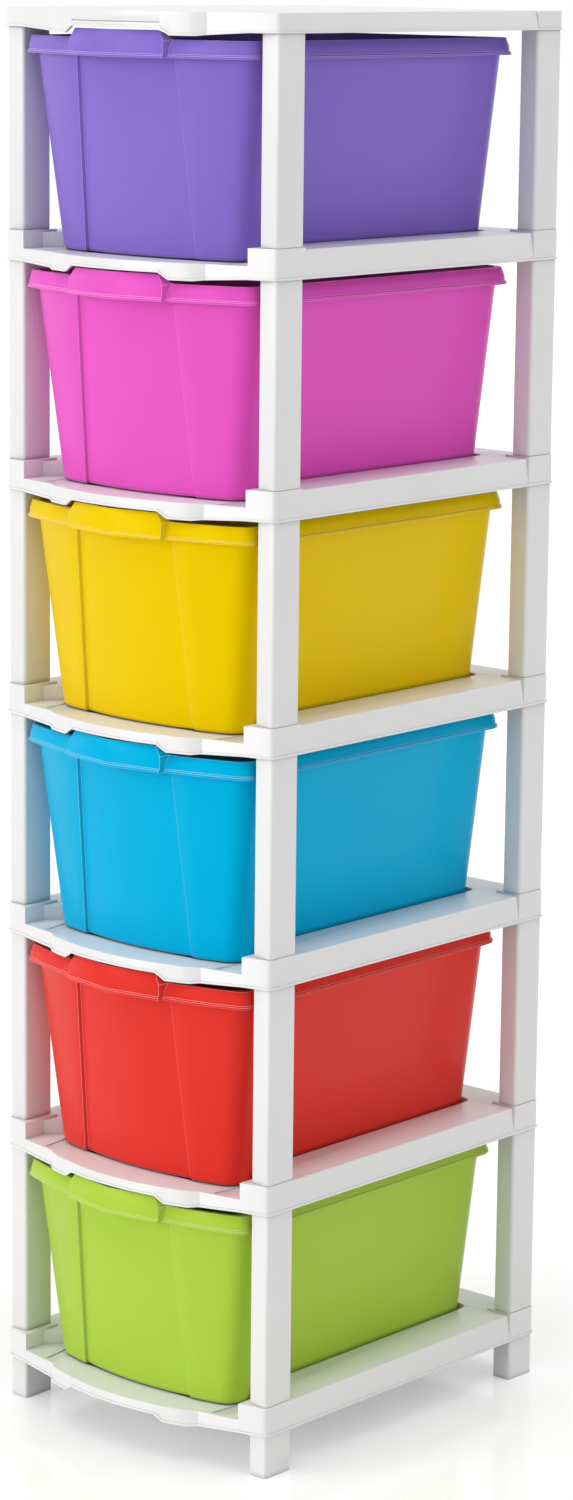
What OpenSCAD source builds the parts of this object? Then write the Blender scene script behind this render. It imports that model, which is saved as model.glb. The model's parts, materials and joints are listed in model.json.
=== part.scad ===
// Plastic drawer tower. Moulded shelves stack on tube posts, and each shelf
// carries one tapered drawer that slides out to the front.
// The drawers open toward -Y. The origin is on the floor, at the centre of the
// tower's bounding box in X and Y.

/* [Tower] */
// Number of drawer bays, one above the other
bay_count = 6; // [2:1:8]
// Width across the shelves' corner collars
tower_w = 326; // [310:1:350]
// Depth across the shelves' corner collars
tower_d = 388; // [370:1:420]
// Height from one shelf to the next
bay_pitch = 207; // [200:1:230]

/* [Collars and posts] */
// Height of a shelf's corner collars
collar_h = 27; // [25:0.5:32]
// Width of a corner collar
collar_w = 28; // [25:0.5:32]
// Depth of a corner collar
collar_d = 36; // [35.5:0.5:42]
// Radius of the shelf's upright corner edges
collar_r = 4; // [2.5:0.5:7]
// Width of a post
post_w = 20.5; // [18:0.5:23]
// Depth of a post
post_d = 34.5; // [28:0.5:34.5]
// Radius of a post's upright edges
post_r = 3; // [1:0.5:4]
// Wall thickness of a post
post_wall = 2; // [1.5:0.1:2.4]
// Distance from a collar's face to the post's face
post_inset = 0.8; // [0.4:0.1:1.5]
// Height of the feet below the lowest shelf
foot_h = 40; // [25:1:60]
// Thickness of a foot's sole
sole_t = 3; // [2:0.5:5]

/* [Spigots] */
// Length of a spigot that a post fits over
spigot_len = 16; // [8:1:20]
// Clearance on each side between a spigot and a post's bore
spigot_gap = 0.25; // [0.1:0.05:0.4]
// Wall thickness of a spigot
spigot_wall = 2.2; // [1.6:0.1:3]

/* [Shelf] */
// Thickness of the shelf's floor, deck and top plates
plate_t = 2.5; // [2:0.1:3]
// Thickness of the shelf's skirts
skirt_t = 2.2; // [1.6:0.1:2.8]
// Height of the floor that the drawer slides on
floor_h = 11.5; // [10:0.5:14]
// Step from the collars' tops down to the deck around the drawer
deck_drop = 2; // [1:0.5:4]
// Distance that the side and rear skirts lean in at their tops
skirt_draft = 3; // [1:0.5:5]
// Distance from the tower's rear to the drawer's recess
rear_deck = 39; // [37:0.5:45]
// Radius of the recess's rear corners
recess_r = 10; // [6:0.5:14]
// Gap between the recess's sides and the drawer
recess_gap = 2; // [1.5:0.5:5]
// Distance that the lip's arc bows ahead of the front collars
lip_bow = 20.5; // [14:0.5:26]
// Depth of the deck's slanted ends behind the front collars
flare_d = 22; // [16:1:30]
// How far the front collars' inner faces run back from the collars' front
flare_y = 18; // [12:1:24]
// Height of the bead along the skirt's lower edge
bead_h = 2; // [1.2:0.1:3]
// Distance that the bead stands out from the skirt
bead_out = 1.2; // [0.6:0.1:2]

/* [Lip] */
// Distance that the brow's middle stands ahead of the lip's arc
brow_out = 14; // [8:0.5:18]
// Distance that the brow's ends stand ahead of the lip's arc
brow_end_out = 5; // [3:0.5:7]
// Width of the brow's slanted ends
brow_slant_w = 8; // [5:0.5:12]
// Gap on each side between the handle's top and the notch in the brow
notch_gap = 2; // [1.5:0.5:5]
// Height of the notch's edge above the collars' lower edge
notch_h = 2.5; // [1.5:0.5:4]
// Width of the tabs' straight lower edges beside the notch
tab_w = 23; // [16:0.5:30]
// Distance that the tabs hang below the collars' lower edge
tab_drop = 3.5; // [2.5:0.5:4.5]
// Distance that the lip hangs below the collars' lower edge beside the tabs
lip_drop = 2.5; // [1:0.5:3.5]

/* [Floor ribs] */
// Distance between the ribs under the floor
rib_pitch = 56; // [40:1:80]
// Thickness of a rib
rib_t = 1.8; // [1.2:0.1:2.4]
// Height of the floor ribs' lower edge
rib_z = 3; // [1:0.5:6]
// Width of the drawer track's groove
groove_w = 2.5; // [1:0.5:3]
// Depth of the drawer track's groove
groove_t = 1.5; // [0.6:0.1:1.5]
// Angle that the drawer track's grooves turn in towards the front
groove_turn = 7; // [0:1:12]

/* [Top cover] */
// Height of the top cover
cover_h = 17; // [14:0.5:24]
// Height of the edge band that a groove marks off above the cover's notch
band_h = 4.5; // [3:0.5:6]
// Height of that groove
band_groove_h = 1; // [0.6:0.1:1.6]
// Depth of that groove
band_groove_t = 0.9; // [0.4:0.1:1.2]

/* [Drawer] */
// Gap between the drawer's rim and the posts
rim_gap = 3.5; // [3:0.5:8]
// Space above the rim, up to the shelf above
rim_headroom = 7; // [6.5:0.5:12]
// Height of the rim's outer skirt
rim_h = 15.5; // [12:0.5:22]
// Distance from the drawer's wall to the rim's bead
rim_out = 8; // [6.5:0.5:10]
// Distance that the rim's upper edge leans in
rim_lean = 4; // [2:0.5:5]
// Height of the rim's slanted upper band
rim_bevel_h = 7.5; // [5:0.5:9]
// Thickness of the rim
rim_t = 2; // [1.6:0.1:2.4]
// Distance that the bead at the rim's lower edge stands out
rim_bead = 1.3; // [0.5:0.1:1.5]
// Wall thickness of the drawer
drawer_wall = 2; // [1.6:0.1:2.6]
// Thickness of the drawer's floor
drawer_floor = 2.2; // [1.8:0.1:3]
// Running gap between the drawer and the shelf's floor
slide_gap = 0.3; // [0.2:0.05:0.5]
// Distance that each side leans in from the rim to the base
side_lean = 20.5; // [14:0.5:26]
// Gap between the base's rear edge and the recess
rear_gap = 2.5; // [2:0.5:8]
// Distance that the rear wall leans out at the rim
rear_lean = 4.5; // [2:0.5:8]
// Distance that the base's wall bows ahead of the front collars
base_bow = 3; // [-4:0.5:8]
// Distance that the rim's wall bows ahead of the front collars
front_bow = 21.7; // [18:0.1:24]
// Radius of the front wall's bow
bow_r = 357; // [320:1:420]
// Radius of the drawer's corners at the rim
corner_top_r = 20; // [16:0.5:26]
// Radius of the drawer's corners at the base
corner_base_r = 18; // [14:0.5:24]
// Radius of the rim's front corners at its bead
rim_corner_r = 16; // [12:0.5:24]

/* [Front panel] */
// Half the width of the sunk panel at the rim
panel_top_hw = 57; // [50:0.5:64]
// Half the width of the sunk panel at the base
panel_base_hw = 65; // [60:0.5:74]
// Depth of the step beside the sunk panel
panel_t = 3.5; // [3:0.5:6]
// Width of the slope of that step
step_w = 1.5; // [1:0.5:4]
// Distance that the panel's middle bows out from its edges at the base
panel_bow = 7; // [4:0.5:9]

/* [Handle] */
// Half the width of the handle
handle_hw = 56; // [46:0.5:60]
// Half the width of the handle's top edge
handle_top_hw = 50; // [40:0.5:54]
// Width of the slanted ends of the handle's top and of the notch above it
slant_w = 10; // [6:0.5:14]
// Distance that the handle's ends stand ahead of the rim
handle_end_out = 5.2; // [3:0.1:6]
// Distance that the handle's middle stands ahead of the rim
handle_mid_out = 10.3; // [7:0.1:12]
// Gap between the handle's top and the notch's edge above it
handle_gap = 1.5; // [1:0.5:4]
// Height of the handle's slanted upper band
handle_bevel_h = 9.5; // [6:0.5:12]

/* [Hidden] */
lap = 1;
round_fn = 48;
brow_steps = 12;
lip_steps = 8;
corner_steps = 8;

SIDES = [-1, 1];
BAYS = [1 : bay_count];
CORNERS = [["front_left", -1, 0], ["front_right", 1, 0], ["rear_left", -1, 1], ["rear_right", 1, 1]];

FRAME_COLOR = "#eceeee";
DRAWER_COLORS = ["#7d5cc6", "#e549c0", "#ecc80c", "#0f9fdc", "#d9302b", "#9ccb3a"];

// The collars' front plane, placed so that the tower is centred in Y
reach = front_bow + rim_out + handle_mid_out;
front_y = (reach - tower_d - bead_out) / 2;

// Shelf plan: a rectangle whose front edge is an arc through the front corners
lip_r = (pow(tower_w / 2, 2) + pow(lip_bow, 2)) / (2 * lip_bow);
lip_cy = lip_r - lip_bow;

deck_h = collar_h - deck_drop;
recess_y = tower_d - rear_deck;
post_h = bay_pitch - collar_h;
bore_w = post_w - 2 * post_wall;
bore_d = post_d - 2 * post_wall;
bore_r = max(post_r - post_wall, 0.5);
wall_hw = tower_w / 2 - collar_w;

// Half widths of the notch that the handle stands in, and of the brow around it
notch_hw = handle_top_hw + notch_gap;
tab_hw = notch_hw + slant_w;
brow_hw = tab_hw + tab_w;

// The brow's arc, through its middle and its ends
brow_end = [brow_hw, lip_y(brow_hw) - brow_end_out];
brow_foot = [brow_hw + brow_slant_w, lip_y(brow_hw + brow_slant_w)];
brow_rise = brow_end[1] + lip_bow + brow_out;
brow_r = (pow(brow_hw, 2) + pow(brow_rise, 2)) / (2 * brow_rise);
brow_cy = brow_r - lip_bow - brow_out;
ahead = lip_bow + brow_out + bead_out + lap;

// Drawer heights, counted from the underside of its base
shelf_to_drawer = floor_h + slide_gap;
rim_top = bay_pitch - rim_headroom - shelf_to_drawer;
rim_low = rim_top - rim_h;
bead_top = rim_low + rim_t;
fold_z = rim_top - rim_bevel_h;
handle_rise = rim_headroom + notch_h - handle_gap;
fold_rise = handle_rise + rim_bevel_h - handle_bevel_h;
base_round = 5;

// Drawer half widths and depths
top_hw = tower_w / 2 - post_inset - post_w - rim_gap - rim_out;
base_hw = top_hw - side_lean;
base_back = recess_y - rear_gap;
recess_hw = base_hw + side_lean * (deck_h - shelf_to_drawer) / rim_low + recess_gap;

// Radius of the sunk panel's curve, and how far its inner corners move per unit of wall
panel_r = pow(panel_base_hw, 2) / (2 * panel_bow);
step_shift = (norm([step_w, panel_t]) - step_w) / panel_t;

// Height of the shelf at the foot of a bay, with bay 1 at the top
function shelf_z(bay) = foot_h + (bay_count - bay) * bay_pitch;
function bow(x) = bow_r - sqrt(bow_r * bow_r - x * x);
function lip_y(x) = lip_cy - sqrt(lip_r * lip_r - x * x);
function mix(a, b, k) = a + (b - a) * k;

// ---- Plan shapes of the shelf ----

module rounded_rect(w, d, r) {
    square([w - 2 * r, d], center = true);
    square([w, d - 2 * r], center = true);
    for (sx = SIDES) for (sy = SIDES)
        translate([sx * (w / 2 - r), sy * (d / 2 - r)]) circle(r = r, $fn = round_fn);
}

// Points on an arc. Angles start at -Y and turn towards +X
function arc(cx, cy, r, a0, a1, steps) =
    [for (i = [0 : steps]) let (a = mix(a0, a1, i / steps)) [cx + r * sin(a), cy - r * cos(a)]];

function reversed(list) = [for (i = [len(list) - 1 : -1 : 0]) list[i]];

// A line from left to right, from the points of its right half
function both_halves(half) = concat([for (i = [len(half) - 1 : -1 : 1]) [-half[i][0], half[i][1]]], half);

// A closed outline from the points of its right half
function mirrored(half) = concat(half, [for (i = [len(half) - 1 : -1 : 1]) [-half[i][0], half[i][1]]]);

// A point between two headings of the outline, moved in with it by inset
function moved_in(p, from, to, inset) =
    let (a = (from + to) / 2)
    p + inset / cos((to - from) / 2) * [-sin(a), cos(a)];

// The shelf's outline, moved in by inset on every side: the brow, the lip's
// arc beside it, the front and the rear corners
module shelf_plan(inset = 0) {
    slant = atan2(brow_foot[1] - brow_end[1], brow_slant_w);
    end = moved_in(brow_end, asin(brow_hw / brow_r), slant, inset);
    foot = moved_in(brow_foot, slant, asin(brow_foot[0] / lip_r), inset);
    r = max(collar_r - inset, 0.5);
    big_r = lip_r - inset;
    cx = tower_w / 2 - inset - r;
    cy = lip_cy - sqrt(pow(big_r - r, 2) - cx * cx);
    slope = atan(cx / (lip_cy - cy));
    polygon(mirrored(concat(
        arc(0, brow_cy, brow_r - inset, 0, atan(end[0] / (brow_cy - end[1])), brow_steps),
        arc(0, lip_cy, big_r, atan(foot[0] / (lip_cy - foot[1])), slope, lip_steps),
        arc(cx, cy, r, slope, 90, corner_steps),
        arc(cx, tower_d - inset - r, r, 90, 180, corner_steps)
    )));
}

// The shelf's outline with the sides and rear moved in between the collars
module leaned_plan(lean) {
    difference() {
        shelf_plan();
        for (s = SIDES)
            translate([s * tower_w / 2, tower_d / 2])
                square([2 * lean, tower_d - 2 * collar_d], center = true);
        translate([0, tower_d]) square([tower_w - 2 * collar_w, 2 * lean], center = true);
    }
}

// The recess that the drawer's base sits in, open to the front, grown by grow
module recess_plan(grow = 0) {
    hw = recess_hw + grow;
    wide = wall_hw + grow;
    r = recess_r + grow;
    polygon(mirrored(concat(
        [
            [0, -ahead],
            [wide, -ahead],
            [wide, flare_y + grow / 2],
            [hw, flare_y + flare_d + grow / 2]
        ],
        arc(hw - r, recess_y + grow - r, r, 90, 180, corner_steps)
    )));
}

module corner_plan() {
    for (s = SIDES) for (y = [-lip_bow, tower_d - collar_d])
        translate([s * (tower_w / 2 - collar_w / 2) - collar_w / 2, y])
            square([collar_w, y < 0 ? collar_d + lip_bow : collar_d]);
}

// The part of the plan's front between the collars
module front_band(grow = 0) {
    hw = wall_hw + grow;
    translate([-hw, -ahead]) square([2 * hw, ahead + collar_d]);
}

// ---- Pieces of the shelf and the cover ----

module at_posts() {
    for (corner = CORNERS) at_post(corner) children();
}

module at_post(corner) {
    x = tower_w / 2 - post_inset - post_w / 2;
    y = post_inset + post_d / 2;
    translate([corner[1] * x, corner[2] == 0 ? y : tower_d - y, 0]) children();
}

module spigot_plan(inset = 0) {
    cut = 2 * (spigot_gap + inset);
    rounded_rect(bore_w - cut, bore_d - cut, max(bore_r - spigot_gap - inset, 0.4));
}

module collars(h, spigots_up) {
    high = spigots_up ? h + spigot_len : h;
    bore_top = spigots_up ? high + lap : h - plate_t;
    difference() {
        union() {
            linear_extrude(h) intersection() {
                shelf_plan();
                corner_plan();
            }
            translate([0, 0, -spigot_len]) at_posts()
                linear_extrude(high + spigot_len) spigot_plan();
        }
        translate([0, 0, -spigot_len - lap]) at_posts()
            linear_extrude(bore_top + spigot_len + lap) spigot_plan(spigot_wall);
    }
}

// Section of a skirt that stands on the shelf's lower edge and leans in
module skirt_section(h, out) {
    polygon([
        [out, 0], [out, bead_h], [out - skirt_draft, h],
        [out - skirt_draft - skirt_t, h], [out - skirt_t, bead_h], [out - skirt_t, 0]
    ]);
}

// Runs a section along each side, between the collars, from y to y + length
module along_sides(y, length) {
    for (s = SIDES)
        translate([0, y + length, 0]) rotate([90, 0, 0])
            linear_extrude(length) scale([s, 1]) children();
}

// Runs a section along the rear, from x to x + length
module along_rear(x, length) {
    translate([x, 0, 0]) rotate([90, 0, 90]) linear_extrude(length) children();
}

// Leaned skirts along the sides and the rear, between the collars
module skirts(h) {
    along_sides(collar_d - lap, tower_d - 2 * (collar_d - lap)) skirt_section(h, tower_w / 2);
    along_rear(collar_w - lap - tower_w / 2, tower_w - 2 * (collar_w - lap))
        skirt_section(h, tower_d);
}

// The lip's lower edge seen from the front, right half, raised by rise
function lower_edge(rise = 0) = [
    [0, notch_h + rise],
    [notch_hw, notch_h + rise],
    [tab_hw, rise - tab_drop],
    [brow_hw, rise - tab_drop],
    [brow_hw + brow_slant_w, rise - lip_drop],
    [wall_hw, rise],
    [wall_hw + 2 * lap, rise]
];

// A wall along the front between two insets of the plan, from the lower edge
// up to the line top, which lies below h
module front_wall(outer, inner, h, top) {
    intersection() {
        translate([0, 0, -tab_drop]) linear_extrude(h + tab_drop) intersection() {
            difference() {
                shelf_plan(outer);
                shelf_plan(inner);
            }
            front_band(lap);
        }
        translate([0, collar_d + lap, 0]) rotate([90, 0, 0]) linear_extrude(ahead + collar_d + 2 * lap)
            polygon(concat(both_halves(lower_edge()), reversed(both_halves(top))));
    }
}

// The bowed front skirt with its brow, tabs and notch, and the bead along its lower edge
module lip(h) {
    front_wall(0, skirt_t, h, [[0, h], [wall_hw + 2 * lap, h]]);
    front_wall(-bead_out, skirt_t / 2, h, lower_edge(bead_h));
}

// The bead along the lower edge of the collars, the sides and the rear
module bead() {
    linear_extrude(bead_h) difference() {
        shelf_plan(-bead_out);
        shelf_plan(skirt_t / 2);
        front_band();
    }
}

module floor_ribs() {
    count_x = floor(recess_hw / rib_pitch);
    count_y = floor(recess_y / rib_pitch);
    translate([0, 0, rib_z]) linear_extrude(floor_h - plate_t / 2 - rib_z) intersection() {
        shelf_plan(skirt_t / 2);
        recess_plan(skirt_t / 2);
        union() {
            for (i = [-count_x : count_x])
                translate([i * rib_pitch, tower_d / 2]) square([rib_t, 2 * tower_d], center = true);
            for (j = [0 : count_y])
                translate([0, (j + 0.5) * rib_pitch]) square([tower_w, rib_t], center = true);
        }
    }
}

// Section of a web that ties the recess's wall to a skirt under the deck
module web_section(wall, out) {
    low = floor_h;
    high = deck_h - plate_t / 2;
    function skirt_at(z) = out - skirt_t / 2 - skirt_draft * (z - bead_h) / (deck_h - bead_h);
    polygon([[wall, low], [skirt_at(low), low], [skirt_at(high), high], [wall, high]]);
}

module deck_webs() {
    for (j = [1 : floor((recess_y - collar_d) / rib_pitch)])
        along_sides(collar_d + j * rib_pitch, rib_t)
            web_section(recess_hw + skirt_t / 2, tower_w / 2);
    for (i = [-1 : 1])
        along_rear(i * rib_pitch - rib_t / 2, rib_t) web_section(recess_y + skirt_t / 2, tower_d);
}

// A groove on each side of the drawer's track, from the lip to the drawer's corner
module track_grooves() {
    corner_y = bow(base_hw - corner_base_r) - base_bow + corner_base_r;
    length = corner_y + lip_bow;
    translate([0, 0, floor_h - groove_t]) linear_extrude(groove_t + lap) intersection() {
        shelf_plan(2 * skirt_t);
        for (s = SIDES)
            translate([s * base_hw, corner_y]) rotate(-s * groove_turn)
                translate([-groove_w / 2, -length]) square([groove_w, length]);
    }
}

module shelf() {
    difference() {
        union() {
            collars(collar_h, true);
            skirts(deck_h);
            lip(floor_h);
            bead();
            translate([0, 0, deck_h - plate_t]) linear_extrude(plate_t) difference() {
                leaned_plan(skirt_draft);
                recess_plan();
            }
            translate([0, 0, floor_h - plate_t]) linear_extrude(deck_h - floor_h + plate_t)
                intersection() {
                    shelf_plan(skirt_t);
                    difference() {
                        recess_plan(skirt_t);
                        recess_plan();
                    }
                }
            translate([0, 0, floor_h - plate_t]) linear_extrude(plate_t) intersection() {
                shelf_plan(skirt_t / 2);
                recess_plan(skirt_t / 2);
            }
            floor_ribs();
            deck_webs();
        }
        track_grooves();
    }
}

// The groove that marks off the edge band above the cover's notch
module band_groove() {
    translate([0, 0, notch_h + band_h]) linear_extrude(band_groove_h) intersection() {
        difference() {
            shelf_plan(-bead_out);
            shelf_plan(band_groove_t);
        }
        translate([-notch_hw, -ahead]) square([2 * notch_hw, ahead + collar_d]);
    }
}

module cover() {
    collars(cover_h, false);
    skirts(cover_h);
    difference() {
        lip(cover_h);
        band_groove();
    }
    bead();
    translate([0, 0, cover_h - plate_t]) linear_extrude(plate_t) leaned_plan(skirt_draft);
}

// ---- Posts and feet ----

module post() {
    linear_extrude(post_h) difference() {
        rounded_rect(post_w, post_d, post_r);
        rounded_rect(bore_w, bore_d, bore_r);
    }
}

module foot() {
    difference() {
        linear_extrude(foot_h) rounded_rect(post_w, post_d, post_r);
        translate([0, 0, sole_t]) linear_extrude(foot_h)
            rounded_rect(bore_w, bore_d, bore_r);
    }
}

// ---- Drawer ----
// A drawer is one closed surface: rings of points run up the outside, over the
// rim and down the inside. Each ring lists its right half, then the mirror image.

PANEL_STEPS = 6;
STRIP_STEPS = 3;
CORNER_STEPS = 6;

// Front centre's distance behind the collars' front, at height z
function front_at(z) = mix(-base_bow, -front_bow, z / rim_low);

// The right half of a ring. hw: half width, front: y of the front's middle,
// back: y of the rear, front_r and back_r: corner radii,
// inset: [half width, y at its edges off the bow, y at its middle off front, power,
// width of its ends] of the sunk panel or the handle. Power 1 gives two flat faces,
// power 2 a curve.
function half_ring(hw, front, back, front_r, back_r, inset) =
    let (
        cx = hw - front_r,
        slope = asin(cx / (bow_r - front_r)),
        touch_x = bow_r * sin(slope),
        cy = front + bow(touch_x) + front_r * cos(slope),
        edge_y = front + bow(inset[0]) + inset[1],
        strip_x = inset[0] + inset[4]
    )
    concat(
        [for (i = [0 : PANEL_STEPS])
            let (k = i / PANEL_STEPS)
            [inset[0] * k, mix(front + inset[2], edge_y, pow(k, inset[3]))]],
        [for (i = [0 : STRIP_STEPS - 1])
            let (x = mix(strip_x, touch_x, i / STRIP_STEPS))
            [x, front + bow(x)]],
        [for (i = [0 : CORNER_STEPS])
            let (a = mix(slope, 90, i / CORNER_STEPS))
            [cx + front_r * sin(a), cy - front_r * cos(a)]],
        [for (i = [0 : CORNER_STEPS])
            let (a = 90 * i / CORNER_STEPS)
            [hw - back_r + back_r * cos(a), back - back_r + back_r * sin(a)]]
    );

// A full ring at height z; the handle's points are lifted by rise
function full_ring(half, z, rise = 0) =
    let (
        last = len(half) - 1,
        lifted = [for (i = [0 : last]) [half[i][0], half[i][1], i <= PANEL_STEPS ? z + rise : z]]
    )
    concat(lifted, [for (i = [last : -1 : 1]) [-lifted[i][0], lifted[i][1], lifted[i][2]]]);

// The drawer's wall at height z, moved in by inset
function wall_ring(z, inset) =
    let (
        k = z / rim_low,
        r = mix(corner_base_r, corner_top_r, k) - inset / 2,
        panel_hw = mix(panel_base_hw, panel_top_hw, k),
        middle = bow(panel_hw) + panel_t - pow(panel_hw, 2) / (2 * panel_r)
    )
    full_ring(
        half_ring(
            mix(base_hw, top_hw, k) - inset,
            front_at(z) + inset,
            mix(base_back, base_back + rear_lean, k) - inset,
            r,
            r,
            [panel_hw + inset * step_shift, panel_t, middle, 2, step_w]
        ),
        z
    );

// The handle's half width and the width of its ends, below its top and at its top
BASE_ENDS = [handle_hw, step_w];
TOP_ENDS = [handle_top_hw, slant_w];

// The rim at height z, out from the wall by out, with the handle in its middle
function rim_ring(z, out, ends, rise = 0, inset = 0) =
    full_ring(
        half_ring(
            top_hw + out,
            front_at(rim_low) - out,
            base_back + rear_lean + out,
            rim_corner_r - rim_out + out,
            corner_top_r + out / 4,
            [ends[0] - inset, -handle_end_out, -handle_mid_out, 1, ends[1]]
        ),
        z,
        rise
    );

// The drawer's rings, up the outside, round the rim and down to the inner floor
DRAWER_RINGS = [
    wall_ring(0, base_round / 2),
    wall_ring(base_round / 3, base_round / 8),
    wall_ring(base_round, 0),
    wall_ring(rim_top - rim_t, 0),
    rim_ring(rim_top - rim_t, rim_out - rim_lean - rim_t / 2, TOP_ENDS, handle_rise, rim_t),
    rim_ring(rim_low, rim_out - rim_bead - rim_t, BASE_ENDS, 0, rim_t),
    rim_ring(rim_low, rim_out, BASE_ENDS),
    rim_ring(bead_top, rim_out, BASE_ENDS),
    rim_ring(bead_top + rim_bead, rim_out - rim_bead, BASE_ENDS),
    rim_ring(fold_z, rim_out - rim_bead - (rim_lean - rim_bead) / 8, BASE_ENDS, fold_rise),
    rim_ring(rim_top, rim_out - rim_lean, TOP_ENDS, handle_rise),
    wall_ring(rim_top, drawer_wall),
    wall_ring(drawer_floor + base_round, drawer_wall),
    wall_ring(drawer_floor, drawer_wall + base_round / 2)
];

// A closed solid from rings that all have the same number of points
module ring_solid(rings) {
    n = len(rings[0]);
    last = len(rings) - 1;
    sides = [
        for (k = [0 : last - 1]) for (j = [0 : n - 1])
            let (
                a = k * n + j,
                b = k * n + (j + 1) % n,
                c = b + n,
                d = a + n
            )
            each [[a, d, c], [a, c, b]]
    ];
    polyhedron(
        points = [for (ring = rings) each ring],
        faces = concat(sides, [[for (j = [0 : n - 1]) j], [for (j = [n - 1 : -1 : 0]) last * n + j]])
    );
}

module drawer() {
    ring_solid(DRAWER_RINGS);
}

// ---- Placed nodes ----

module top_cover() {
    color(FRAME_COLOR) translate([0, front_y, shelf_z(0)]) cover();
}

module shelf_in_bay(bay) {
    color(FRAME_COLOR) translate([0, front_y, shelf_z(bay)]) shelf();
}

module drawer_in_bay(bay) {
    color(DRAWER_COLORS[(bay - 1) % len(DRAWER_COLORS)])
        translate([0, front_y, shelf_z(bay) + shelf_to_drawer]) drawer();
}

module post_in_bay(bay, corner) {
    color(FRAME_COLOR) translate([0, front_y, shelf_z(bay) + collar_h]) at_post(corner) post();
}

module foot_at(corner) {
    color(FRAME_COLOR) translate([0, front_y, 0]) at_post(corner) foot();
}

top_cover();
for (bay = BAYS) {
    shelf_in_bay(bay);
    drawer_in_bay(bay);
    for (corner = CORNERS)
        post_in_bay(bay, corner);
}
for (corner = CORNERS)
    foot_at(corner);
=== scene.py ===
"""Looks for a plastic drawer tower: glossy white frame, six coloured drawers.

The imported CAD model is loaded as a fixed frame. Every solid is shown by a
softened copy of its own mesh, whose edges are rounded as a mould rounds them,
with a moulded polypropylene finish. Units are metres in the CAD model's own
frame: -Y is the front, +Z is up, the floor is at z = 0.
"""

from __future__ import annotations

import json
import logging
import math
from dataclasses import dataclass
from enum import Enum

import bpy
from mathutils import Matrix, Vector

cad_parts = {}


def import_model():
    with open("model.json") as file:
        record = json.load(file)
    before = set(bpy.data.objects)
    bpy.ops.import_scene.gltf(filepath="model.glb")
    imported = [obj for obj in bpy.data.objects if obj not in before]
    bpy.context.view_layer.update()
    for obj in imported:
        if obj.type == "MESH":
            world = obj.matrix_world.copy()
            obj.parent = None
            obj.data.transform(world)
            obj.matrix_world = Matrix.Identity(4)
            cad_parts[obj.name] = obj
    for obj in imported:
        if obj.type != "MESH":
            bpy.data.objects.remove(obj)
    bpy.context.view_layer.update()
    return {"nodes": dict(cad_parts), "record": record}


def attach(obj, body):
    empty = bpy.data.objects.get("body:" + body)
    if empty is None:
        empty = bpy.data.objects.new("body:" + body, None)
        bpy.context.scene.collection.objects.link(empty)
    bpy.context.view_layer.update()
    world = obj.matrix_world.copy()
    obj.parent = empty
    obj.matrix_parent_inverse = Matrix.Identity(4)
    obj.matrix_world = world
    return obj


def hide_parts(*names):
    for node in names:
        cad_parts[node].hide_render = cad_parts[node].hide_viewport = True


LOG = logging.getLogger("drawer_tower")
MM = 0.001
EDGE_SHARE = "edge_share"
IMAGE_WIDTH, IMAGE_HEIGHT = 573, 1500

# Softening: what counts as one point, one flat face, a hard edge and a smooth turn
MERGE_DISTANCE = 0.002 * MM
FLAT_ANGLE = math.radians(0.4)
HARD_EDGE_ANGLE = math.radians(28)
SMOOTH_ANGLE = math.radians(35)


# ---------------------------------------------------------------- small helpers


def linear_rgb(hex_colour: str) -> tuple[float, float, float, float]:
    """Turns an sRGB hex colour into the linear values that Blender's sockets take.

    Args:
        hex_colour: Six hex digits with a leading hash.

    Returns:
        Linear red, green and blue, and an alpha of one.
    """
    channels = [int(hex_colour[i : i + 2], 16) / 255 for i in (1, 3, 5)]
    values = [c / 12.92 if c <= 0.04045 else ((c + 0.055) / 1.055) ** 2.4 for c in channels]
    return (values[0], values[1], values[2], 1.0)


def add_node(
    tree: bpy.types.NodeTree,
    kind: str,
    settings: dict[str, object] | None = None,
    inputs: dict[str | int, object] | None = None,
) -> bpy.types.Node:
    """Adds a node with its settings, socket values and incoming links.

    Args:
        tree: The node tree that gets the node.
        kind: The node's type, such as ShaderNodeTexNoise.
        settings: Values for the node's own properties.
        inputs: A value, or the socket to link from, for each named input.

    Returns:
        The new node.
    """
    node = tree.nodes.new(kind)
    for key, value in (settings or {}).items():
        setattr(node, key, value)
    for key, value in (inputs or {}).items():
        if isinstance(value, bpy.types.NodeSocket):
            tree.links.new(value, node.inputs[key])
        else:
            node.inputs[key].default_value = value
    return node


def seen_rays(tree: bpy.types.NodeTree) -> bpy.types.NodeSocket:
    """Tells the rays that see the studio, straight or in a gloss, from those that light.

    Args:
        tree: The node tree that gets the nodes.

    Returns:
        A socket that is one for camera, glossy and transmitted rays, and else zero.
    """
    path = add_node(tree, "ShaderNodeLightPath").outputs
    mirrored = add_node(
        tree,
        "ShaderNodeMath",
        {"operation": "MAXIMUM"},
        {0: path["Is Glossy Ray"], 1: path["Is Transmission Ray"]},
    )
    seen = add_node(
        tree,
        "ShaderNodeMath",
        {"operation": "MAXIMUM"},
        {0: path["Is Camera Ray"], 1: mirrored.outputs[0]},
    )
    return seen.outputs[0]


def select_only(*objects: bpy.types.Object) -> None:
    """Selects the given objects and makes the first one active.

    Args:
        *objects: What stays selected.
    """
    if bpy.context.object and bpy.context.object.mode != "OBJECT":
        bpy.ops.object.mode_set(mode="OBJECT")
    bpy.ops.object.select_all(action="DESELECT")
    for item in objects:
        item.select_set(True)
    bpy.context.view_layer.objects.active = objects[0]


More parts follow.
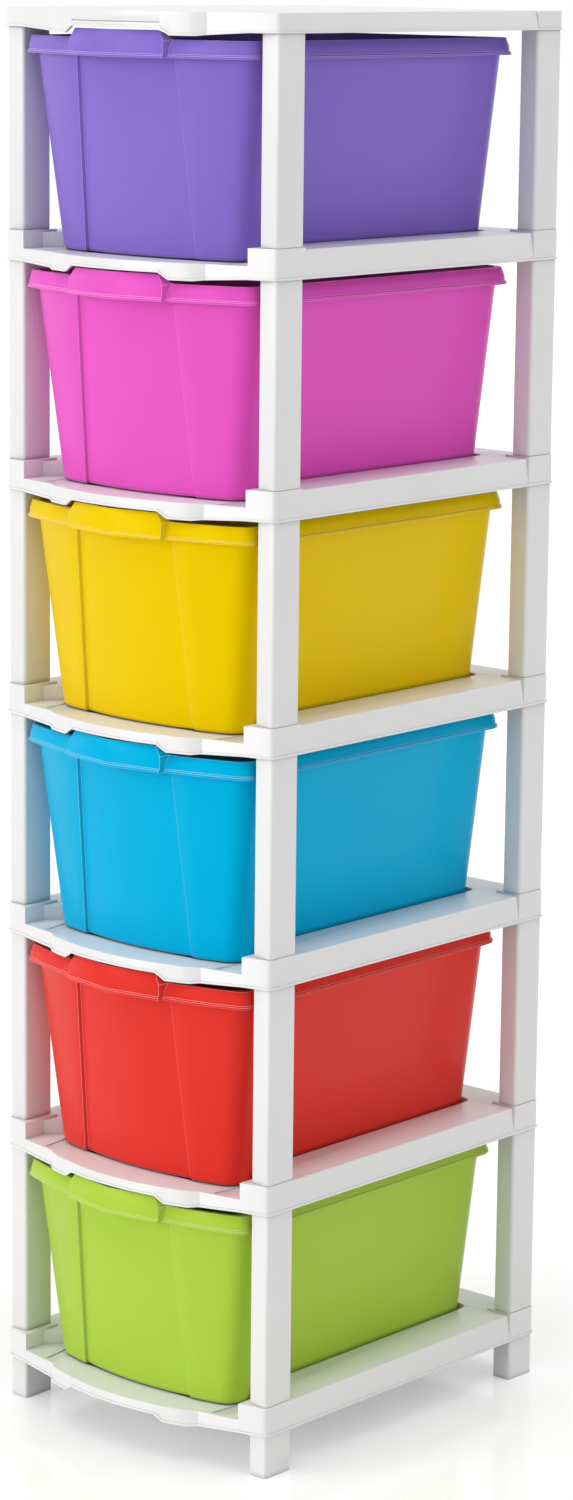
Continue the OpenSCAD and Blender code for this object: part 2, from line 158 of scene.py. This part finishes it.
def softened_copy(node: bpy.types.Object, name: str, edge: float, segments: int) -> bpy.types.Object:
    """Copies a CAD solid's mesh into a new piece and rounds its hard edges.

    Args:
        node: The CAD solid's object, which stays as it is.
        name: The new piece's name.
        edge: Width of the rounding, in metres.
        segments: Number of faces across the rounding.

    Returns:
        The new piece, with its modifiers applied.
    """
    piece = bpy.data.objects.new(name, node.data.copy())
    bpy.context.scene.collection.objects.link(piece)
    piece.data.name = name
    # Two empty slots: the rounding's faces take the second one's index
    piece.data.materials.clear()
    for _ in range(2):
        piece.data.materials.append(None)
    select_only(piece)
    bpy.ops.object.mode_set(mode="EDIT")
    bpy.ops.mesh.select_all(action="SELECT")
    bpy.ops.mesh.customdata_custom_splitnormals_clear()
    bpy.ops.mesh.remove_doubles(threshold=MERGE_DISTANCE)
    bpy.ops.mesh.dissolve_limited(angle_limit=FLAT_ANGLE)
    bpy.ops.object.mode_set(mode="OBJECT")
    bevel = piece.modifiers.new("Mould radius", "BEVEL")
    bevel.limit_method = "ANGLE"
    bevel.angle_limit = HARD_EDGE_ANGLE
    bevel.width = edge
    bevel.segments = segments
    bevel.miter_outer = "MITER_ARC"
    bevel.use_clamp_overlap = True
    bevel.material = 1
    bpy.ops.object.modifier_apply(modifier=bevel.name)
    bpy.ops.object.shade_smooth_by_angle(angle=SMOOTH_ANGLE)
    mark_edges(piece)
    return piece


def mark_edges(piece: bpy.types.Object) -> None:
    """Marks the faces that the rounding made, which carry the second slot's index.

    Args:
        piece: The rounded piece, whose two empty material slots are cleared again.
    """
    mesh = piece.data
    share = mesh.attributes.new(EDGE_SHARE, "FLOAT", "FACE")
    for face in mesh.polygons:
        share.data[face.index].value = float(face.material_index == 1)
    mesh.materials.clear()


# --------------------------------------------------------------------- finishes


@dataclass(frozen=True)
class MouldedPolypropylene:
    """Injection-moulded polypropylene: smooth, semi-gloss, faintly translucent.

    The mould is polished, so the skin is even, with a faint orange peel. Pigment
    spreads a little unevenly, which shows as slow drifts of shade. The base colour
    also carries a painted highlight on the rounded edges and painted shade in
    narrow gaps.

    Attributes:
        name: The finish's name.
        colour: The pigment's usual shade.
        deep_colour: The shade where the pigment lies thicker.
        roughness: Roughness of the polished skin.
        specular: Strength of the gloss, 0.5 for the plastic's full one.
        tint: Colour that the gloss takes where it is seen straight on.
        edge_highlight_colour: Colour of the painted highlight on the thin rounded edges.
        edge_highlight_mix: How far the rounded edges lean towards that painted highlight, from zero to one.
        crease_mm: Reach of the painted shade between close neighbours.
        crease_depth: Share of the colour that the painted shade takes in the narrowest gap.
        crease_span: Openness at which that painted shade is full, and at which it ends.
        drift_mm: Length of a drift of shade.
        drift_span: Values of the drift's noise that give the two shades.
        scuff_mm: Size of a patch of duller or brighter skin.
        scuff_span: Values of the patches' noise that give the two roughnesses.
        scuff_change: Change of roughness at each end of that span.
        peel_mm: Size of the orange peel's bumps, drawn about twice as coarse as
            real ones, so that they show.
        peel_depth_mm: Depth of those bumps.
        peel_strength: Share of that depth that shades the skin.
        ior: Index of refraction of polypropylene.
    """

    name: str
    colour: str
    deep_colour: str
    roughness: float
    specular: float
    tint: str = "#ffffff"
    edge_highlight_colour: str = "#ffffff"
    edge_highlight_mix: float = 0.0
    crease_mm: float = 7.0
    crease_depth: float = 0.6
    crease_span: tuple[float, float] = (0.15, 0.75)
    drift_mm: float = 180.0
    drift_span: tuple[float, float] = (0.3, 0.7)
    scuff_mm: float = 45.0
    scuff_span: tuple[float, float] = (0.35, 0.75)
    scuff_change: tuple[float, float] = (-0.01, 0.015)
    peel_mm: float = 2.6
    peel_depth_mm: float = 0.1
    peel_strength: float = 0.06
    ior: float = 1.49

    def material(self) -> bpy.types.Material:
        """Builds the finish's node material.

        Returns:
            A material that reads Object coordinates.
        """
        material = bpy.data.materials.new(self.name)
        material.use_nodes = True
        tree = material.node_tree
        tree.nodes.clear()
        place = add_node(tree, "ShaderNodeTexCoord").outputs["Object"]
        pigment = self.pigment(tree, place)
        # The pigment gets a painted highlight on the rounded edges
        highlighted = self.painted_edge_highlight(tree, pigment)
        shader = add_node(
            tree,
            "ShaderNodeBsdfPrincipled",
            inputs={
                # The base colour carries painted shade in the gaps
                "Base Color": self.painted_crease_shade(tree, highlighted),
                "Roughness": self.skin_roughness(tree, place),
                "Normal": self.orange_peel(tree, place),
                "IOR": self.ior,
                "Specular IOR Level": self.specular,
                "Specular Tint": linear_rgb(self.tint),
            },
        )
        add_node(tree, "ShaderNodeOutputMaterial", inputs={"Surface": shader.outputs["BSDF"]})
        return material

    def pigment(self, tree: bpy.types.NodeTree, place: bpy.types.NodeSocket) -> bpy.types.NodeSocket:
        """Spreads the pigment in slow drifts between its two shades.

        Args:
            tree: The material's node tree.
            place: The socket with the Object coordinates.

        Returns:
            A socket with the pigment's colour.
        """
        drift = add_node(
            tree,
            "ShaderNodeTexNoise",
            inputs={"Vector": place, "Scale": 1 / (self.drift_mm * MM), "Detail": 2.0},
        )
        shade = add_node(
            tree,
            "ShaderNodeMapRange",
            inputs={
                "Value": drift.outputs["Fac"],
                "From Min": self.drift_span[0],
                "From Max": self.drift_span[1],
            },
        )
        colour = add_node(
            tree,
            "ShaderNodeMix",
            {"data_type": "RGBA"},
            {
                "Factor": shade.outputs["Result"],
                6: linear_rgb(self.deep_colour),
                7: linear_rgb(self.colour),
            },
        )
        return colour.outputs[2]

    def painted_edge_highlight(self, tree: bpy.types.NodeTree, colour: bpy.types.NodeSocket) -> bpy.types.NodeSocket:
        """Paints a highlight on the thin rounded edges by lightening their colour.

        Args:
            tree: The material's node tree.
            colour: The socket with the pigment's colour.

        Returns:
            A socket with the colour, with a painted highlight on the faces that the rounding made.
        """
        # Painted highlight: the rounding's faces lean towards a light colour
        edge = add_node(
            tree, "ShaderNodeAttribute", {"attribute_type": "GEOMETRY", "attribute_name": EDGE_SHARE}
        )
        lift = add_node(
            tree, "ShaderNodeMath", {"operation": "MULTIPLY"}, {0: edge.outputs["Fac"], 1: self.edge_highlight_mix}
        )
        highlighted = add_node(
            tree,
            "ShaderNodeMix",
            {"data_type": "RGBA"},
            {"Factor": lift.outputs[0], 6: colour, 7: linear_rgb(self.edge_highlight_colour)},
        )
        return highlighted.outputs[2]

    def painted_crease_shade(self, tree: bpy.types.NodeTree, colour: bpy.types.NodeSocket) -> bpy.types.NodeSocket:
        """Paints shade into the narrow gaps between neighbouring mouldings, darker where they close in.

        Args:
            tree: The material's node tree.
            colour: The socket with the colour so far.

        Returns:
            A socket with the colour, with painted shade in the gaps.
        """
        # Painted shade: ambient occlusion darkens the base colour in narrow gaps
        openness = add_node(
            tree,
            "ShaderNodeAmbientOcclusion",
            {"samples": 6},
            {"Distance": self.crease_mm * MM},
        )
        crease = add_node(
            tree,
            "ShaderNodeMapRange",
            inputs={
                "Value": openness.outputs["AO"],
                "From Min": self.crease_span[0],
                "From Max": self.crease_span[1],
                "To Min": 1 - self.crease_depth,
                "To Max": 1.0,
            },
        )
        crease_shaded = add_node(
            tree,
            "ShaderNodeMix",
            {"data_type": "RGBA", "blend_type": "MULTIPLY"},
            {"Factor": 1.0, 6: colour, 7: crease.outputs["Result"]},
        )
        return crease_shaded.outputs[2]

    def skin_roughness(self, tree: bpy.types.NodeTree, place: bpy.types.NodeSocket) -> bpy.types.NodeSocket:
        """Varies the gloss in soft patches, as handling leaves it.

        Args:
            tree: The material's node tree.
            place: The socket with the Object coordinates.

        Returns:
            A socket with the roughness.
        """
        scuffs = add_node(
            tree,
            "ShaderNodeTexNoise",
            inputs={"Vector": place, "Scale": 1 / (self.scuff_mm * MM), "Detail": 5.0},
        )
        gloss = add_node(
            tree,
            "ShaderNodeMapRange",
            inputs={
                "Value": scuffs.outputs["Fac"],
                "From Min": self.scuff_span[0],
                "From Max": self.scuff_span[1],
                "To Min": self.roughness + self.scuff_change[0],
                "To Max": self.roughness + self.scuff_change[1],
            },
        )
        return gloss.outputs["Result"]

    def orange_peel(self, tree: bpy.types.NodeTree, place: bpy.types.NodeSocket) -> bpy.types.NodeSocket:
        """Gives the skin the faint ripple that polypropylene takes as it cools.

        Args:
            tree: The material's node tree.
            place: The socket with the Object coordinates.

        Returns:
            A socket with the rippled normal.
        """
        peel = add_node(
            tree,
            "ShaderNodeTexNoise",
            inputs={"Vector": place, "Scale": 1 / (self.peel_mm * MM), "Detail": 1.0},
        )
        bump = add_node(
            tree,
            "ShaderNodeBump",
            inputs={
                "Height": peel.outputs["Fac"],
                "Strength": self.peel_strength,
                "Distance": self.peel_depth_mm * MM,
            },
        )
        return bump.outputs["Normal"]


WHITE_PLASTIC = MouldedPolypropylene("White moulded polypropylene", "#e9e8e8", "#e7e6e6", 0.29, 0.4)


def coloured_plastic(
    name: str, colour: str, deep_colour: str, specular: float
) -> MouldedPolypropylene:
    """Makes a drawer's finish, whose gloss takes a little of the pigment's colour.

    Args:
        name: The colour's plain name.
        colour: The pigment's usual shade.
        deep_colour: The shade where the pigment lies thicker.
        specular: Strength of the gloss, 0.5 for the plastic's full one.

    Returns:
        The finish.
    """
    return MouldedPolypropylene(
        f"{name} moulded polypropylene",
        colour,
        deep_colour,
        roughness=0.24,
        specular=specular,
        tint=colour,
        # Painted highlight on the rounded edges
        edge_highlight_mix=0.38,
    )


class BayColour(Enum):
    """The drawers' colours, from the top bay to the bottom bay."""

    PURPLE = coloured_plastic("Purple", "#8a70cd", "#866cc9", 0.22)
    PINK = coloured_plastic("Pink", "#ea5bc7", "#e657c3", 0.22)
    YELLOW = coloured_plastic("Yellow", "#efcc00", "#ebc700", 0.12)
    BLUE = coloured_plastic("Blue", "#00b3e1", "#00aedc", 0.12)
    RED = coloured_plastic("Red", "#e53a31", "#e1362c", 0.16)
    GREEN = coloured_plastic("Green", "#afd147", "#abcd41", 0.16)


# ---------------------------------------------------------------- sub-assemblies


@dataclass
class Tower:
    """The white frame: shelves, cover, posts and feet with softened edges."""

    nodes: dict[str, bpy.types.Object]
    members: list[str]
    edge: float = 0.7 * MM
    segments: int = 2
    material: bpy.types.Material | None = None

    def dress(self) -> None:
        """Builds and dresses the piece for every frame solid."""
        self.material = WHITE_PLASTIC.material()
        for name in self.members:
            self.build_member(name)

    def build_member(self, name: str) -> None:
        """Builds the softened piece that stands for one shelf, post, foot or the cover.

        Args:
            name: The CAD solid's name.
        """
        piece = softened_copy(self.nodes[name], f"moulded_{name}", self.edge, self.segments)
        piece.data.materials.append(self.material)
        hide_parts(name)
        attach(piece, "frame")
        LOG.info("frame piece %s, %d faces", piece.name, len(piece.data.polygons))


@dataclass
class Drawer:
    """One tapered drawer with its rolled rim and its handle."""

    node: bpy.types.Object
    body: str
    finish: BayColour
    edge: float = 0.8 * MM
    segments: int = 2

    def build(self) -> bpy.types.Object:
        """Builds the softened shell and dresses it.

        Returns:
            The drawer's visible piece.
        """
        piece = softened_copy(self.node, f"moulded_{self.body}", self.edge, self.segments)
        piece.data.materials.append(self.finish.value.material())
        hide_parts(self.node.name)
        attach(piece, self.body)
        LOG.info("drawer piece %s, %d faces", piece.name, len(piece.data.polygons))
        return piece


# ------------------------------------------------------------------------ studio


@dataclass(frozen=True)
class StudioCamera:
    """A long-lens camera in front of the tower's right corner, slightly raised.

    Attributes:
        place: Where the camera stands, in metres.
        yaw: Turn to the left of straight ahead, in degrees.
        pitch: Tilt downwards, in degrees.
        roll: Tilt of the horizon, in degrees.
        focal_px: Focal length in pixels of the whole image.
        sensor: Width of the sensor, in millimetres.
        reach: How far the camera sees, in metres.
    """

    place: tuple[float, float, float] = (2.4476, -2.7479, 1.3547)
    yaw: float = 41.397
    pitch: float = 11.252
    roll: float = 0.606
    focal_px: float = 4044.3
    sensor: float = 36.0
    reach: float = 50.0

    def build(self) -> bpy.types.Object:
        """Creates the camera and makes it the scene's own.

        Returns:
            The camera object.
        """
        yaw, pitch, roll = (math.radians(a) for a in (self.yaw, self.pitch, self.roll))
        forward = Vector(
            (-math.sin(yaw) * math.cos(pitch), math.cos(yaw) * math.cos(pitch), -math.sin(pitch))
        )
        level = Vector((math.cos(yaw), math.sin(yaw), 0.0))
        upward = level.cross(forward)
        right = math.cos(roll) * level + math.sin(roll) * upward
        up = math.cos(roll) * upward - math.sin(roll) * level
        data = bpy.data.cameras.new("Studio camera")
        data.sensor_width = self.sensor
        data.lens = self.focal_px / max(IMAGE_WIDTH, IMAGE_HEIGHT) * self.sensor
        data.clip_end = self.reach
        camera = bpy.data.objects.new("Studio camera", data)
        bpy.context.scene.collection.objects.link(camera)
        turned = Matrix((right, up, -forward)).transposed().to_4x4()
        camera.matrix_world = Matrix.Translation(self.place) @ turned
        bpy.context.scene.camera = camera
        return camera


@dataclass(frozen=True)
class Lamp:
    """A soft distant lamp, like a big softbox far away.

    Attributes:
        name: The lamp's name.
        towards: The direction in which its light travels.
        strength: Its light on a surface that faces it.
        softness: How wide it looks from the tower, in degrees.
    """

    name: str
    towards: tuple[float, float, float]
    strength: float
    softness: float

    def build(self) -> bpy.types.Object:
        """Creates the lamp.

        Returns:
            The lamp object.
        """
        data = bpy.data.lights.new(self.name, "SUN")
        data.energy = self.strength
        data.angle = math.radians(self.softness)
        lamp = bpy.data.objects.new(self.name, data)
        bpy.context.scene.collection.objects.link(lamp)
        lamp.rotation_mode = "QUATERNION"
        lamp.rotation_quaternion = Vector(self.towards).to_track_quat("-Z", "Y")
        return lamp


@dataclass
class Studio:
    """White studio: pale glossy floor, white surroundings and three soft lamps.

    Attributes:
        floor_half: Half of the floor's side, in metres.
        floor_squares: Number of faces along the floor's side.
        floor_roughness: Roughness of the floor's laminate.
        floor_ior: Index of refraction of the laminate's resin.
        floor_glow: Share of the white backdrop that shows through the floor.
        glow_strength: Strength of that white.
        ambient: Light that the surroundings give from every side.
        lamps: The lamps.
    """

    floor_half: float = 12.0
    floor_squares: int = 8
    floor_roughness: float = 0.12
    floor_ior: float = 1.45
    floor_glow: float = 0.15
    glow_strength: float = 1.8
    ambient: float = 0.42
    lamps: tuple[Lamp, ...] = (
        Lamp("Front left softbox", (0.41, 0.88, -0.26), 1.30, 32.0),
        Lamp("Right softbox", (-0.72, -0.42, -0.62), 0.54, 45.0),
        Lamp("Overhead softbox", (0.00, 0.20, -1.00), 1.12, 70.0),
    )

    def build(self) -> None:
        """Builds the floor, the surroundings, the lamps and the colour settings."""
        self.build_floor()
        self.build_world()
        for lamp in self.lamps:
            lamp.build()
        bpy.context.scene.view_settings.view_transform = "Standard"

    def build_floor(self) -> bpy.types.Object:
        """Lays the studio floor under the feet.

        Returns:
            The floor object, which is stage and not part of the tower.
        """
        bpy.ops.object.select_all(action="DESELECT")
        bpy.ops.mesh.primitive_grid_add(
            x_subdivisions=self.floor_squares,
            y_subdivisions=self.floor_squares,
            size=2 * self.floor_half,
            location=(0, 0, 0),
        )
        floor = bpy.context.object
        floor.name = "Studio floor"
        floor.data.materials.append(self.floor_material())
        return floor

    def floor_material(self) -> bpy.types.Material:
        """Makes the floor's finish: white gloss laminate that fades to the backdrop.

        Returns:
            The floor's material.
        """
        material = bpy.data.materials.new("White gloss laminate")
        material.use_nodes = True
        tree = material.node_tree
        tree.nodes.clear()
        # A pressed laminate is even and shiny, so it mirrors the feet softly
        lit = add_node(
            tree,
            "ShaderNodeBsdfPrincipled",
            inputs={
                "Base Color": linear_rgb("#ffffff"),
                "Roughness": self.floor_roughness,
                "IOR": self.floor_ior,
            },
        )
        glow = add_node(
            tree,
            "ShaderNodeEmission",
            inputs={"Color": (1, 1, 1, 1), "Strength": self.glow_strength},
        )
        share = add_node(
            tree, "ShaderNodeMath", {"operation": "MULTIPLY"}, {0: seen_rays(tree), 1: self.floor_glow}
        )
        mixed = add_node(
            tree,
            "ShaderNodeMixShader",
            inputs={"Fac": share.outputs[0], 1: lit.outputs["BSDF"], 2: glow.outputs["Emission"]},
        )
        add_node(tree, "ShaderNodeOutputMaterial", inputs={"Surface": mixed.outputs["Shader"]})
        return material

    def build_world(self) -> bpy.types.World:
        """Makes surroundings that light at a plain level and look white.

        Returns:
            The scene's world.
        """
        world = bpy.data.worlds.new("White studio")
        world.use_nodes = True
        tree = world.node_tree
        tree.nodes.clear()
        strength = add_node(
            tree,
            "ShaderNodeMapRange",
            inputs={"Value": seen_rays(tree), "To Min": self.ambient, "To Max": 1.0},
        )
        light = add_node(
            tree,
            "ShaderNodeBackground",
            inputs={"Color": (1, 1, 1, 1), "Strength": strength.outputs["Result"]},
        )
        add_node(tree, "ShaderNodeOutputWorld", inputs={"Surface": light.outputs["Background"]})
        bpy.context.scene.world = world
        return world


def main() -> None:
    """Loads the frame, then builds the studio, the tower and the drawers in order."""
    logging.basicConfig(level=logging.INFO, format="%(message)s")
    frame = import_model()
    StudioCamera().build()
    Studio().build()
    nodes = frame["nodes"]
    behaviour = frame["record"]["behaviour"]
    Tower(nodes, list(behaviour["bodies"]["frame"])).dress()
    for bay, finish in enumerate(BayColour, start=1):
        Drawer(nodes[f"drawer_{bay}"], f"drawer_{bay}", finish).build()


if __name__ == "__main__":
    main()
